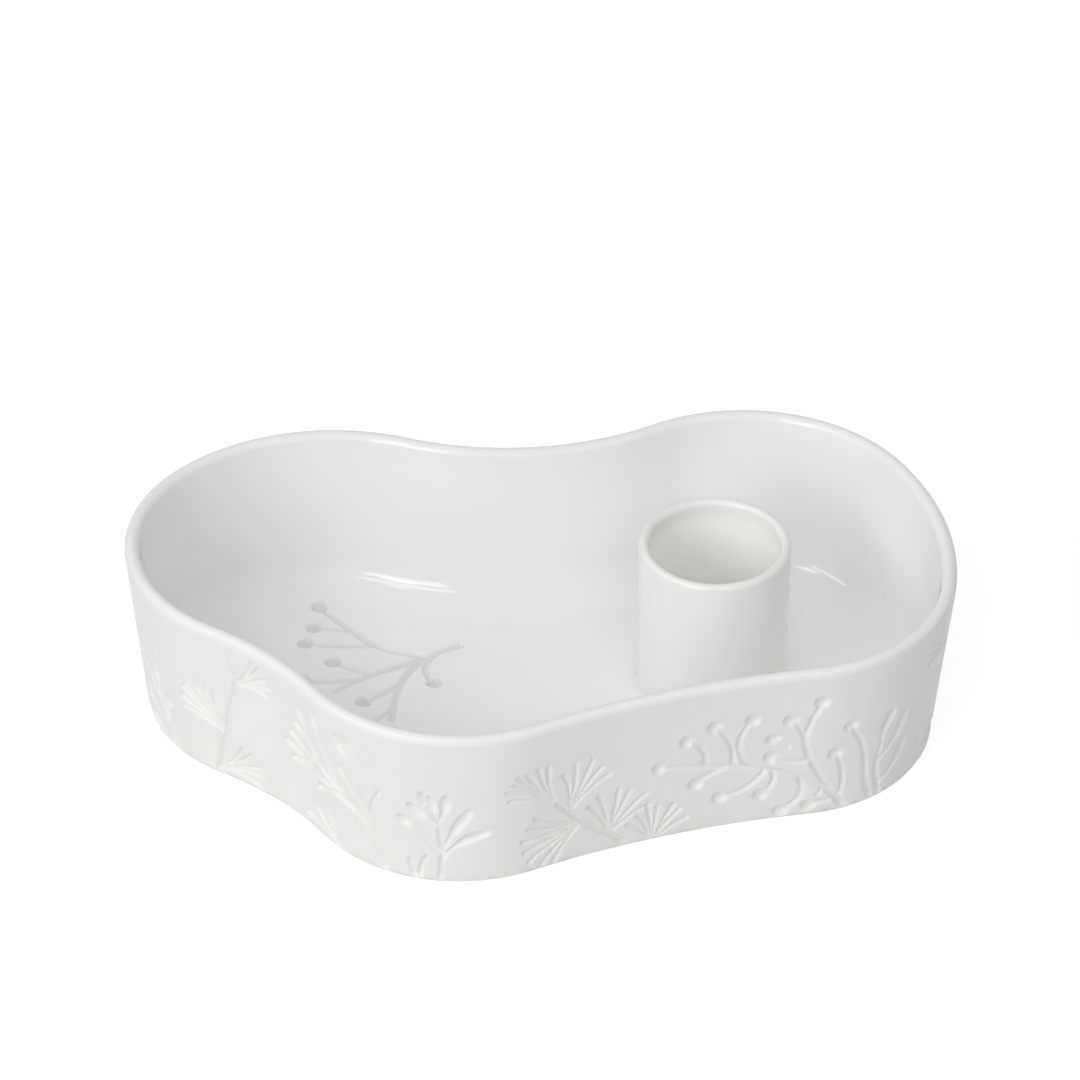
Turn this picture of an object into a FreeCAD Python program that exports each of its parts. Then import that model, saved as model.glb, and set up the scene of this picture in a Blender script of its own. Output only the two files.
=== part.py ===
import FreeCAD, Part
import math
import os
import Sketcher
from FreeCAD import Vector

# Candle plate of slip-cast porcelain, in millimetres.
# A dish with a three-lobed outline, a flat floor and a wall that leans outwards,
# and a round candle cup that was cast by itself and luted to the floor.
# The outside of the dish is bare porcelain. A glaze coat covers the inside,
# the rim and the cup.
# The finished part stands on z = 0, centred under its rim, its long side along X.
# The dish is drawn from the centre of its left lobe, the cup from its own axis,
# and each is then placed.

driving_sizes = [
    ("height", 60.0, "foot to the top of the dish wall"),
    ("wall", 4.6, "thickness of the dish wall with its coat"),
    ("draft", 6.0, "lean of the wall, in degrees"),
    ("floor", 5.0, "thickness of the dish floor with its coat"),
    ("cove", 14.0, "radius from the wall into the floor"),
    ("foot_edge", 1.6, "rounding of the outer edge of the foot"),
    ("foot_width", 9.0, "width of the flat ring that the dish stands on"),
    ("foot_hollow", 0.8, "depth of the hollow inside that ring"),
    ("glaze", 0.3, "thickness of the glaze coat"),
    ("glaze_edge", 40.0, "where the coat ends outside the rim, in degrees"),
    ("left_radius", 52.0, "left lobe, at the middle of the rim"),
    ("back_extra", 13.5, "how much wider the back of the left lobe is"),
    ("back_turn", 43.0, "where that wider arc starts, in degrees"),
    ("right_radius", 55.5, "right lobe, round the cup"),
    ("right_x", 139.0, "right lobe, to the right of the left lobe"),
    ("right_y", 13.5, "right lobe, behind the left lobe"),
    ("corner_radius", 51.0, "front corner of the right lobe"),
    ("corner_x", 10.5, "front corner, to the right of the right lobe"),
    ("corner_y", 26.5, "front corner, in front of the right lobe"),
    ("front_radius", 53.5, "front lobe"),
    ("front_x", 50.0, "front lobe, to the right of the left lobe"),
    ("front_y", 44.0, "front lobe, in front of the left lobe"),
    ("back_waist", 95.0, "radius of the hollow in the back"),
    ("left_waist", 100.0, "radius of the hollow at the front left"),
    ("front_waist", 300.0, "radius of the hollow at the front right"),
    ("right_bow", 97.0, "radius of the right side"),
    ("cup_x", 10.5, "cup axis, to the left of the right lobe"),
    ("cup_y", 12.5, "cup axis, in front of the right lobe"),
    ("cup_bore", 41.0, "inner diameter of the cup, for a tea light"),
    ("cup_wall", 3.2, "thickness of the cup wall with both coats"),
    ("cup_height", 54.5, "dish floor to the top of the cup"),
    ("cup_floor", 3.2, "thickness of the cup's bottom with its coat"),
    ("cup_cove", 3.0, "radius at the bottom of the bore"),
    ("luting", 3.2, "width and height of the slip fillet round the cup"),
]

doc = FreeCAD.newDocument("candle_plate")
sheet = doc.addObject("Spreadsheet::Sheet", "Sizes")
for row, (name, number, meaning) in enumerate(driving_sizes, start=1):
    sheet.set(f"A{row}", name)
    sheet.set(f"B{row}", str(number))
    sheet.set(f"C{row}", meaning)
    sheet.setAlias(f"B{row}", name)
doc.recompute()


def number_of(expression):
    """the number that the sheet gives for an expression"""
    return float(sheet.evalExpression(expression))


# Sizes that follow from the driving ones. An inset is measured from the middle of
# the rim towards the inside. The swept wall carries a skirt of floor, as wide as the
# wall, that the floor plate laps over.
rim_radius = "Sizes.wall / 2"
rim_core = "Sizes.wall / 2 - Sizes.glaze"
rim_level = "Sizes.height - Sizes.wall / 2"
cove_core = "Sizes.cove + Sizes.glaze"
floor_core = "Sizes.floor - Sizes.glaze"
wall_run = f"({rim_level} - Sizes.floor - Sizes.cove) * tan(Sizes.draft)"
cove_inset = f"({rim_radius} + Sizes.cove) / cos(Sizes.draft) + {wall_run}"
skirt_inset = f"{cove_inset} + Sizes.wall"
plate_inset = f"{cove_inset} + {rim_radius}"
base_inset = f"({rim_level}) * tan(Sizes.draft) - {rim_radius} / cos(Sizes.draft)"
hollow_inset = f"{base_inset} + Sizes.foot_width"
back_step = "Sizes.back_extra * cos(Sizes.back_turn)"

cup_radius = "Sizes.cup_bore / 2 + Sizes.cup_wall"
cup_core = "Sizes.cup_bore / 2 + Sizes.cup_wall - Sizes.glaze"
bore_radius = "Sizes.cup_bore / 2"
bore_core = "Sizes.cup_bore / 2 + Sizes.glaze"
cup_rim = "Sizes.cup_wall / 2"
cup_rim_core = "Sizes.cup_wall / 2 - Sizes.glaze"
cup_rim_level = "Sizes.cup_height + Sizes.glaze - Sizes.cup_wall / 2"
cup_cove_core = "Sizes.cup_cove + Sizes.glaze"
cup_floor_core = "Sizes.cup_floor - Sizes.glaze"
luting_radius = f"{cup_core} + Sizes.luting"
cup_place_x = "Sizes.right_x - Sizes.cup_x"
cup_place_y = "Sizes.right_y - Sizes.cup_y"

# The arcs of the outline, counter-clockwise from the far left. The left lobe is in
# two arcs, so that the outline starts and ends at its far left.
arc_names = ["left", "left waist", "front", "front waist", "corner", "right bow", "right",
             "back waist", "back", "left end"]
left_arc = arc_names.index("left")
front_arc = arc_names.index("front")
corner_arc = arc_names.index("corner")
right_arc = arc_names.index("right")
back_arc = arc_names.index("back")
last_arc = arc_names.index("left end")


def add_body(label):
    """a new body with its own label"""
    body = doc.addObject("PartDesign::Body", label)
    body.Label = label
    return body


def add_sketch(body, name, plane, lift=None):
    """a sketch on one of the body's own planes, raised by the expression lift"""
    sketch = body.newObject("Sketcher::SketchObject", name)
    support = [f for f in body.Origin.OriginFeatures if f.Role == plane][0]
    sketch.AttachmentSupport = [(support, "")]
    sketch.MapMode = "FlatFace"
    if lift:
        sketch.setExpression("AttachmentOffset.Base.z", lift)
    return sketch


def bind(sketch, kind, references, name, expression):
    """a constraint whose value follows the sheet"""
    number = number_of(expression)
    if kind == "Angle":
        number = math.radians(number)
    index = sketch.addConstraint(Sketcher.Constraint(kind, *references, number))
    sketch.renameConstraint(index, name)
    sketch.setExpression(f"Constraints.{name}", expression)


def add_loop(sketch, pieces, meetings):
    """a closed loop of lines and arcs: each with the ends where the loop enters
    and leaves it, and how it meets the next"""
    count = len(pieces)
    for shape, enters, leaves in pieces:
        sketch.addGeometry(shape, False)
    for index, meeting in enumerate(meetings):
        after = (index + 1) % count
        leaving, entering = pieces[index][2], pieces[after][1]
        sketch.addConstraint(Sketcher.Constraint(meeting, index, leaving, after, entering))


def arc_of(centre, radius, start, end):
    """an arc, counter-clockwise from start to end in degrees"""
    circle = Part.Circle(centre, Vector(0, 0, 1), radius)
    return Part.ArcOfCircle(circle, math.radians(start), math.radians(end))


def polar(centre, radius, angle):
    """the point at a distance and an angle in degrees from a centre"""
    turn = math.radians(angle)
    return centre + Vector(radius * math.cos(turn), radius * math.sin(turn), 0)


def between(first, second, radius, hollow):
    """centre of the arc that touches two lobes and leads from one to the next"""
    reach1 = first[1] + radius if hollow else radius - first[1]
    reach2 = second[1] + radius if hollow else radius - second[1]
    link = second[0] - first[0]
    gap = link.Length
    along = (reach1 ** 2 - reach2 ** 2 + gap ** 2) / (2 * gap)
    aside = math.sqrt(reach1 ** 2 - along ** 2)
    side = -1 if hollow else 1
    across = Vector(-link.y, link.x, 0)
    return first[0] + link * (along / gap) + across * (side * aside / gap)


def outline_arcs():
    """the arcs of the outline at the middle of the rim, in the order of their names:
    centre, radius, whether it is hollow, and where its radius comes from"""
    turn = number_of("Sizes.back_turn")
    left = (Vector(0, 0, 0), number_of("Sizes.left_radius"))
    extra = number_of("Sizes.back_extra")
    back = (polar(left[0], extra, -turn), left[1] + extra)
    right_place = Vector(number_of("Sizes.right_x"), number_of("Sizes.right_y"), 0)
    right = (right_place, number_of("Sizes.right_radius"))
    corner_step = Vector(number_of("Sizes.corner_x"), -number_of("Sizes.corner_y"), 0)
    corner = (right_place + corner_step, number_of("Sizes.corner_radius"))
    front_place = Vector(number_of("Sizes.front_x"), -number_of("Sizes.front_y"), 0)
    front = (front_place, number_of("Sizes.front_radius"))

    def link(name, first, second, hollow):
        radius = number_of(name)
        return (between(first, second, radius, hollow), radius, hollow, name)

    return [
        (*left, False, "Sizes.left_radius"),
        link("Sizes.left_waist", left, front, True),
        (*front, False, "Sizes.front_radius"),
        link("Sizes.front_waist", front, corner, True),
        (*corner, False, "Sizes.corner_radius"),
        link("Sizes.right_bow", corner, right, False),
        (*right, False, "Sizes.right_radius"),
        link("Sizes.back_waist", right, back, True),
        (*back, False, "Sizes.left_radius + Sizes.back_extra"),
        (*left, False, "Sizes.left_radius"),
    ]


def touch_angle(arc, other):
    """direction in degrees, from the centre of arc, of the point where it meets other"""
    way = other[0] - arc[0]
    lies_inside = arc[2] == other[2] and arc[1] < other[1]
    if lies_inside:
        way = -way
    return math.degrees(math.atan2(way.y, way.x))


def draw_outline(sketch, inset="0"):
    """the whole outline, drawn inset from the middle of the rim"""
    arcs = outline_arcs()
    count = len(arcs)
    shift = number_of(inset)
    pieces = []
    for index, arc in enumerate(arcs):
        centre, radius, hollow, name = arc
        start = 180 if index == 0 else touch_angle(arc, arcs[index - 1])
        end = 180 if index == count - 1 else touch_angle(arc, arcs[index + 1])
        if hollow:
            pieces.append((arc_of(centre, radius + shift, end, start), 2, 1))
        else:
            pieces.append((arc_of(centre, radius - shift, start, end), 1, 2))
    add_loop(sketch, pieces, ["Tangent"] * count)
    sketch.addConstraint(Sketcher.Constraint("Coincident", left_arc, 3, -1, 1))
    sketch.addConstraint(Sketcher.Constraint("PointOnObject", last_arc, 2, -1))
    bind(sketch, "DistanceX", (-1, 1, right_arc, 3), "right_x", "Sizes.right_x")
    bind(sketch, "DistanceY", (-1, 1, right_arc, 3), "right_y", "Sizes.right_y")
    bind(sketch, "DistanceX", (right_arc, 3, corner_arc, 3), "corner_x", "Sizes.corner_x")
    bind(sketch, "DistanceY", (corner_arc, 3, right_arc, 3), "corner_y", "Sizes.corner_y")
    bind(sketch, "DistanceX", (-1, 1, front_arc, 3), "front_x", "Sizes.front_x")
    bind(sketch, "DistanceY", (front_arc, 3, -1, 1), "front_y", "Sizes.front_y")
    bind(sketch, "DistanceX", (-1, 1, back_arc, 3), "back_x", back_step)
    for index, (centre, radius, hollow, name) in enumerate(arcs):
        sign = "+" if hollow else "-"
        bind(sketch, "Radius", (index,), f"radius_{index}", f"{name} {sign} ({inset})")


def line(start, end):
    """a straight piece of a loop"""
    return Part.LineSegment(start, end), 1, 2


def wall_place(offset, level):
    """the point of the wall's section at an offset outwards from the middle of the wall"""
    draft = math.radians(number_of("Sizes.draft"))
    drop = number_of(rim_level) - level
    outwards = offset / math.cos(draft) - drop * math.tan(draft)
    return Vector(-number_of("Sizes.left_radius") - outwards, level, 0)


def hold_section(sketch, rim_arc, core_arc, lean, beside, step, end):
    """what the sections of the wall and of its coat have in common"""
    sketch.addConstraint(Sketcher.Constraint("Coincident", rim_arc, 3, core_arc, 3))
    sketch.addConstraint(Sketcher.Constraint("PointOnObject", rim_arc, 3, step))
    sketch.addConstraint(Sketcher.Constraint("Parallel", lean, beside))
    sketch.addConstraint(Sketcher.Constraint("Vertical", end))
    bind(sketch, "Radius", (rim_arc,), "rim_radius", rim_radius)
    bind(sketch, "Radius", (core_arc,), "rim_core", rim_core)
    bind(sketch, "DistanceX", (rim_arc, 3, -1, 1), "left_radius", "Sizes.left_radius")
    bind(sketch, "DistanceY", (-1, 1, rim_arc, 3), "rim_level", rim_level)
    bind(sketch, "DistanceX", (rim_arc, 3, end, 1), "skirt", skirt_inset)
    bind(sketch, "Angle", (lean,), "draft", "90 + Sizes.draft")
    bind(sketch, "Angle", (step,), "glaze_edge", "180 - Sizes.glaze_edge")


def hold_straight(sketch, level, upright):
    """keeps some lines of a section level and others upright"""
    for index in level:
        sketch.addConstraint(Sketcher.Constraint("Horizontal", index))
    for index in upright:
        sketch.addConstraint(Sketcher.Constraint("Vertical", index))


def draw_wall(sketch):
    """section through wall, cove and edge of the floor, without the glaze coat"""
    draft = number_of("Sizes.draft")
    edge = number_of("Sizes.glaze_edge")
    half, core = number_of(rim_radius), number_of(rim_core)
    cove, rounding = number_of(cove_core), number_of("Sizes.foot_edge")
    floor = number_of(floor_core)
    inner = number_of(f"({skirt_inset}) - Sizes.left_radius")
    rim = Vector(-number_of("Sizes.left_radius"), number_of(rim_level), 0)
    foot = wall_place(half - rounding, rounding)
    corner = wall_place(-core - cove, floor + cove)
    leaning, outside = 180 + draft, 180 - edge
    pieces = [
        line(polar(foot, rounding, leaning), polar(rim, half, leaning)),
        (arc_of(rim, half, outside, leaning), 2, 1),
        (Part.LineSegment(polar(rim, core, outside), polar(rim, half, outside)), 2, 1),
        (arc_of(rim, core, draft, outside), 2, 1),
        line(polar(rim, core, draft), polar(corner, cove, leaning)),
        (arc_of(corner, cove, leaning, 270), 1, 2),
        line(Vector(corner.x, floor, 0), Vector(inner, floor, 0)),
        line(Vector(inner, floor, 0), Vector(inner, 0, 0)),
        line(Vector(inner, 0, 0), Vector(foot.x, 0, 0)),
        (arc_of(foot, rounding, leaning, 270), 2, 1),
    ]
    add_loop(sketch, pieces, ["Tangent", "Coincident", "Coincident", "Tangent", "Tangent",
                              "Tangent", "Coincident", "Coincident", "Tangent", "Tangent"])
    outer, rim_arc, step, core_arc, inner_wall, cove_arc, top, end, base, foot_arc = range(10)
    hold_section(sketch, rim_arc, core_arc, outer, inner_wall, step, end)
    sketch.addConstraint(Sketcher.Constraint("Horizontal", top))
    sketch.addConstraint(Sketcher.Constraint("Horizontal", base))
    sketch.addConstraint(Sketcher.Constraint("PointOnObject", base, 1, -1))
    bind(sketch, "Radius", (cove_arc,), "cove", cove_core)
    bind(sketch, "Radius", (foot_arc,), "foot_edge", "Sizes.foot_edge")
    bind(sketch, "DistanceY", (-1, 1, top, 1), "floor", floor_core)


def draw_coat(sketch):
    """section through the glaze coat, from outside the rim to the edge of the floor"""
    draft = number_of("Sizes.draft")
    edge = number_of("Sizes.glaze_edge")
    half, core = number_of(rim_radius), number_of(rim_core)
    cove, cove_back = number_of("Sizes.cove"), number_of(cove_core)
    top, bottom = number_of("Sizes.floor"), number_of(floor_core)
    inner = number_of(f"({skirt_inset}) - Sizes.left_radius")
    rim = Vector(-number_of("Sizes.left_radius"), number_of(rim_level), 0)
    corner = wall_place(-half - cove, top + cove)
    leaning, outside = 180 + draft, 180 - edge
    pieces = [
        (arc_of(rim, half, draft, outside), 2, 1),
        line(polar(rim, half, draft), polar(corner, cove, leaning)),
        (arc_of(corner, cove, leaning, 270), 1, 2),
        line(Vector(corner.x, top, 0), Vector(inner, top, 0)),
        line(Vector(inner, top, 0), Vector(inner, bottom, 0)),
        line(Vector(inner, bottom, 0), Vector(corner.x, bottom, 0)),
        (arc_of(corner, cove_back, leaning, 270), 2, 1),
        line(polar(corner, cove_back, leaning), polar(rim, core, draft)),
        (arc_of(rim, core, draft, outside), 1, 2),
        line(polar(rim, core, outside), polar(rim, half, outside)),
    ]
    add_loop(sketch, pieces, ["Tangent", "Tangent", "Tangent", "Coincident", "Coincident",
                              "Tangent", "Tangent", "Tangent", "Coincident", "Coincident"])
    rim_arc, face, cove_arc, floor_top, end, floor_back, cove_behind, back, core_arc, step = range(10)
    hold_section(sketch, rim_arc, core_arc, back, face, step, end)
    sketch.addConstraint(Sketcher.Constraint("Horizontal", floor_top))
    sketch.addConstraint(Sketcher.Constraint("Horizontal", floor_back))
    bind(sketch, "Radius", (cove_arc,), "cove", "Sizes.cove")
    bind(sketch, "Radius", (cove_behind,), "cove_core", cove_core)
    bind(sketch, "DistanceY", (-1, 1, floor_top, 1), "floor", "Sizes.floor")
    bind(sketch, "DistanceY", (-1, 1, floor_back, 1), "floor_core", floor_core)


def draw_cup(sketch):
    """half section of the cup, without its glaze coat"""
    outside, inside = number_of(cup_core), number_of(bore_core)
    rim, level = number_of(cup_rim_core), number_of(cup_rim_level)
    cove, floor = number_of(cup_cove_core), number_of(cup_floor_core)
    origin = Vector(0, 0, 0)
    foot = Vector(outside, 0, 0)
    centre = Vector(outside - rim, level, 0)
    corner = Vector(inside - cove, floor + cove, 0)
    middle = Vector(0, floor, 0)
    pieces = [
        line(origin, foot),
        line(foot, polar(centre, rim, 0)),
        (arc_of(centre, rim, 0, 180), 1, 2),
        line(polar(centre, rim, 180), polar(corner, cove, 0)),
        (arc_of(corner, cove, 270, 360), 2, 1),
        line(polar(corner, cove, 270), middle),
        line(middle, origin),
    ]
    add_loop(sketch, pieces, ["Coincident", "Tangent", "Tangent", "Tangent", "Tangent",
                              "Coincident", "Coincident"])
    base, outer, rim_arc, inner, cove_arc, top, axis = range(len(pieces))
    sketch.addConstraint(Sketcher.Constraint("Coincident", base, 1, -1, 1))
    hold_straight(sketch, [base, top], [outer, inner, axis])
    bind(sketch, "Radius", (rim_arc,), "rim", cup_rim_core)
    bind(sketch, "Radius", (cove_arc,), "cove", cup_cove_core)
    bind(sketch, "DistanceX", (-1, 1, base, 2), "outside", cup_core)
    bind(sketch, "DistanceY", (-1, 1, rim_arc, 3), "rim_level", cup_rim_level)
    bind(sketch, "DistanceY", (-1, 1, top, 1), "floor", cup_floor_core)


def draw_cup_coat(sketch):
    """half section of the coat, from the slip fillet over the rim to the bottom of the bore"""
    outside, outside_back = number_of(cup_radius), number_of(cup_core)
    inside, inside_back = number_of(bore_radius), number_of(bore_core)
    rim, rim_back = number_of(cup_rim), number_of(cup_rim_core)
    cove, cove_back = number_of("Sizes.cup_cove"), number_of(cup_cove_core)
    floor, floor_back = number_of("Sizes.cup_floor"), number_of(cup_floor_core)
    low = number_of("Sizes.luting")
    centre = Vector(outside - rim, number_of(cup_rim_level), 0)
    corner = Vector(inside - cove, floor + cove, 0)
    pieces = [
        line(Vector(outside_back, low, 0), Vector(outside, low, 0)),
        line(Vector(outside, low, 0), polar(centre, rim, 0)),
        (arc_of(centre, rim, 0, 180), 1, 2),
        line(polar(centre, rim, 180), polar(corner, cove, 0)),
        (arc_of(corner, cove, 270, 360), 2, 1),
        line(polar(corner, cove, 270), Vector(0, floor, 0)),
        line(Vector(0, floor, 0), Vector(0, floor_back, 0)),
        line(Vector(0, floor_back, 0), polar(corner, cove_back, 270)),
        (arc_of(corner, cove_back, 270, 360), 1, 2),
        line(Vector(inside_back, corner.y, 0), polar(centre, rim_back, 180)),
        (arc_of(centre, rim_back, 0, 180), 2, 1),
        line(polar(centre, rim_back, 0), Vector(outside_back, low, 0)),
    ]
    add_loop(sketch, pieces, ["Coincident", "Tangent", "Tangent", "Tangent", "Tangent",
                              "Coincident", "Coincident", "Tangent", "Tangent", "Tangent",
                              "Tangent", "Coincident"])
    edge, outer, rim_arc, inner, cove_arc, top, axis, under, cove_behind, behind, core_arc, back = \
        range(len(pieces))
    sketch.addConstraint(Sketcher.Constraint("PointOnObject", axis, 1, -2))
    sketch.addConstraint(Sketcher.Constraint("Coincident", rim_arc, 3, core_arc, 3))
    hold_straight(sketch, [edge, top, under], [outer, inner, axis, behind, back])
    bind(sketch, "Radius", (rim_arc,), "rim", cup_rim)
    bind(sketch, "Radius", (core_arc,), "rim_core", cup_rim_core)
    bind(sketch, "Radius", (cove_arc,), "cove", "Sizes.cup_cove")
    bind(sketch, "Radius", (cove_behind,), "cove_core", cup_cove_core)
    bind(sketch, "DistanceX", (-1, 1, edge, 2), "outside", cup_radius)
    bind(sketch, "DistanceY", (-1, 1, rim_arc, 3), "rim_level", cup_rim_level)
    bind(sketch, "DistanceY", (-1, 1, top, 1), "floor", "Sizes.cup_floor")
    bind(sketch, "DistanceY", (-1, 1, under, 1), "floor_core", cup_floor_core)
    bind(sketch, "DistanceY", (-1, 1, edge, 1), "luting", "Sizes.luting")


def draw_luting(sketch):
    """half section of the slip fillet between the cup and the dish floor"""
    inside, outside = number_of(cup_core), number_of(luting_radius)
    height, coat = number_of("Sizes.luting"), number_of("Sizes.glaze")
    centre = Vector(outside, height, 0)
    hollow = height - coat
    pieces = [
        line(Vector(inside, 0, 0), Vector(outside, 0, 0)),
        line(Vector(outside, 0, 0), polar(centre, hollow, 270)),
        (arc_of(centre, hollow, 180, 270), 2, 1),
        line(polar(centre, hollow, 180), Vector(inside, height, 0)),
        line(Vector(inside, height, 0), Vector(inside, 0, 0)),
    ]
    add_loop(sketch, pieces, ["Coincident"] * len(pieces))
    base, edge, arc, top, inner = range(len(pieces))
    sketch.addConstraint(Sketcher.Constraint("PointOnObject", base, 1, -1))
    hold_straight(sketch, [base, top], [edge, inner])
    bind(sketch, "DistanceX", (-1, 1, base, 1), "inside", cup_core)
    bind(sketch, "DistanceX", (-1, 1, base, 2), "outside", luting_radius)
    bind(sketch, "DistanceX", (-1, 1, top, 1), "cup_side", cup_radius)
    bind(sketch, "DistanceY", (-1, 1, top, 1), "height", "Sizes.luting")
    bind(sketch, "DistanceY", (-1, 1, edge, 2), "coat", "Sizes.glaze")
    bind(sketch, "Radius", (arc,), "hollow", "Sizes.luting - Sizes.glaze")


def sweep_wall(body, draw_section):
    """the section carried once round the outline"""
    rim_line = add_sketch(body, f"{body.Label}_rim_line", "XY_Plane")
    draw_outline(rim_line)
    section = add_sketch(body, f"{body.Label}_section", "XZ_Plane")
    draw_section(section)
    pipe = body.newObject("PartDesign::AdditivePipe", f"{body.Label}_wall")
    pipe.Profile = section
    pipe.Spine = (rim_line, [])
    pipe.Mode = "Standard"
    return rim_line


def add_plate(body, name, inset, lift, depth, with_cup_hole=False):
    """a flat plate inside the outline, as thick as the expression depth"""
    sketch = add_sketch(body, f"{name}_outline", "XY_Plane", lift)
    draw_outline(sketch, inset)
    if with_cup_hole:
        draw_cup_hole(sketch)
    pad = body.newObject("PartDesign::Pad", name)
    pad.Profile = sketch
    pad.setExpression("Length", depth)


def draw_cup_hole(sketch):
    """the circle in the glaze of the floor that the slip fillet fills"""
    centre = Vector(number_of(cup_place_x), number_of(cup_place_y), 0)
    radius = number_of(luting_radius)
    hole = sketch.addGeometry(Part.Circle(centre, Vector(0, 0, 1), radius), False)
    bind(sketch, "DistanceX", (hole, 3, right_arc, 3), "cup_x", "Sizes.cup_x")
    bind(sketch, "DistanceY", (hole, 3, right_arc, 3), "cup_y", "Sizes.cup_y")
    bind(sketch, "Radius", (hole,), "cup_hole", luting_radius)


def revolve(label, draw_section):
    """a round body turned about its own vertical axis"""
    body = add_body(label)
    section = add_sketch(body, f"{label}_section", "XZ_Plane")
    draw_section(section)
    turned = body.newObject("PartDesign::Revolution", f"{label}_turned")
    turned.Profile = section
    turned.ReferenceAxis = (section, ["V_Axis"])
    turned.Angle = 360
    return body


# Bare porcelain dish: wall, floor and a shallow hollow under the floor
dish_body = add_body("dish_body")
rim_line = sweep_wall(dish_body, draw_wall)
add_plate(dish_body, "dish_floor", plate_inset, "0", floor_core)
doc.recompute()
solid_foot = dish_body.Shape.Volume
foot_outline = add_sketch(dish_body, "foot_hollow_outline", "XY_Plane")
draw_outline(foot_outline, hollow_inset)
foot_hollow = dish_body.newObject("PartDesign::Pocket", "foot_hollow")
foot_hollow.Profile = foot_outline
foot_hollow.setExpression("Length", "Sizes.foot_hollow")
foot_hollow.Reversed = True
doc.recompute()
if dish_body.Shape.Volume >= solid_foot:
    raise RuntimeError("the hollow under the dish removed nothing")

# Glaze coat of the dish: rim, inner wall and floor round the cup
dish_glaze = add_body("dish_glaze")
sweep_wall(dish_glaze, draw_coat)
add_plate(dish_glaze, "glazed_floor", plate_inset, floor_core, "Sizes.glaze", with_cup_hole=True)

candle_cup = revolve("candle_cup", draw_cup)
cup_glaze = revolve("cup_glaze", draw_cup_coat)
luting_fillet = revolve("luting_fillet", draw_luting)
doc.recompute()

# The dish is centred under its rim, and the cup stands on the bare dish floor
middle = rim_line.Shape.BoundBox.Center
for body in (dish_body, dish_glaze):
    body.Placement = FreeCAD.Placement(Vector(-middle.x, -middle.y, 0), FreeCAD.Rotation())
cup_place = Vector(number_of(cup_place_x) - middle.x, number_of(cup_place_y) - middle.y,
                   number_of(floor_core))
for body in (candle_cup, cup_glaze, luting_fillet):
    body.Placement = FreeCAD.Placement(cup_place, FreeCAD.Rotation())
doc.recompute()

for thing in doc.Objects:
    if "Invalid" in thing.State or "Error" in thing.State:
        raise RuntimeError(f"{thing.Label} failed: {thing.getStatusString()}")

sub_parts = [dish_body, dish_glaze, candle_cup, cup_glaze, luting_fillet]
for body in sub_parts:
    if body.Shape.isNull() or not body.Shape.isValid() or len(body.Shape.Solids) != 1:
        raise RuntimeError(f"{body.Label} is not one sound solid")

os.makedirs("parts", exist_ok=True)
for body in sub_parts:
    body.Shape.exportStep(f"parts/{body.Label}.step")
    box = body.Shape.optimalBoundingBox()
    print(f"{body.Label}: {body.Shape.Volume:.0f} cubic mm, x {box.XMin:.1f} to {box.XMax:.1f},"
          f" y {box.YMin:.1f} to {box.YMax:.1f}, z {box.ZMin:.2f} to {box.ZMax:.2f}")
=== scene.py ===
import math
import bmesh
import bpy
import numpy as np
from mathutils import Matrix, Vector
from mathutils.geometry import delaunay_2d_cdt


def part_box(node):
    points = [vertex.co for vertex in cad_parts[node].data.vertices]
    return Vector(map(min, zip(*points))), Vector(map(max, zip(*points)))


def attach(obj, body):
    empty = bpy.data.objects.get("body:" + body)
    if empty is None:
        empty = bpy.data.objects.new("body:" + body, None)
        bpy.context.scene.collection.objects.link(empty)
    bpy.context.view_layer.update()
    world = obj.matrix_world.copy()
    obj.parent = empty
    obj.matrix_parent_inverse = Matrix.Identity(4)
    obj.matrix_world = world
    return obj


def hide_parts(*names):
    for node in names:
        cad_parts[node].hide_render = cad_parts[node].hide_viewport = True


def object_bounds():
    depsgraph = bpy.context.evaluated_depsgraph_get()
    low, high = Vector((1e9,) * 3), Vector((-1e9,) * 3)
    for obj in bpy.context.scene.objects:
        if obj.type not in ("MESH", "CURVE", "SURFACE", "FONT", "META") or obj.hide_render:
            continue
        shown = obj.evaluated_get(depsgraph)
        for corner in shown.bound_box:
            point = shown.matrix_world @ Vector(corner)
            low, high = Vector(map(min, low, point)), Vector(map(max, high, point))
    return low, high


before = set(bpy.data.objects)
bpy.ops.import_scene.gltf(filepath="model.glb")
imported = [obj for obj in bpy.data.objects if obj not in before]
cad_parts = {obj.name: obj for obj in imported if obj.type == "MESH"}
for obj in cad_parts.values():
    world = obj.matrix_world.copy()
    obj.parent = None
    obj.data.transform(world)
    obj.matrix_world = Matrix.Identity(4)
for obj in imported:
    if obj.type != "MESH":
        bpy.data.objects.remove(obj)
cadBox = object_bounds()
mm = 0.001
circle = 2 * math.pi
hair = 1e-9   # less than any real distance
chance = np.random.default_rng(11)


def hexColour(text):
    # sRGB hex digits to the linear colour that a shader takes
    values = [int(text[at:at + 2], 16) / 255 for at in (0, 2, 4)]
    return [v / 12.92 if v <= 0.04045 else ((v + 0.055) / 1.055) ** 2.4 for v in values] + [1]


def addNode(tree, kind, inputs=None, **settings):
    node = tree.nodes.new(kind)
    for name, value in settings.items():
        setattr(node, name, value)
    for socket, value in (inputs or {}).items():
        if isinstance(value, bpy.types.NodeSocket):
            tree.links.new(value, node.inputs[socket])
        else:
            node.inputs[socket].default_value = value
    return node


# The dish: plan of lobes and waists, at the middle of the rim, and section of the wall

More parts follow.
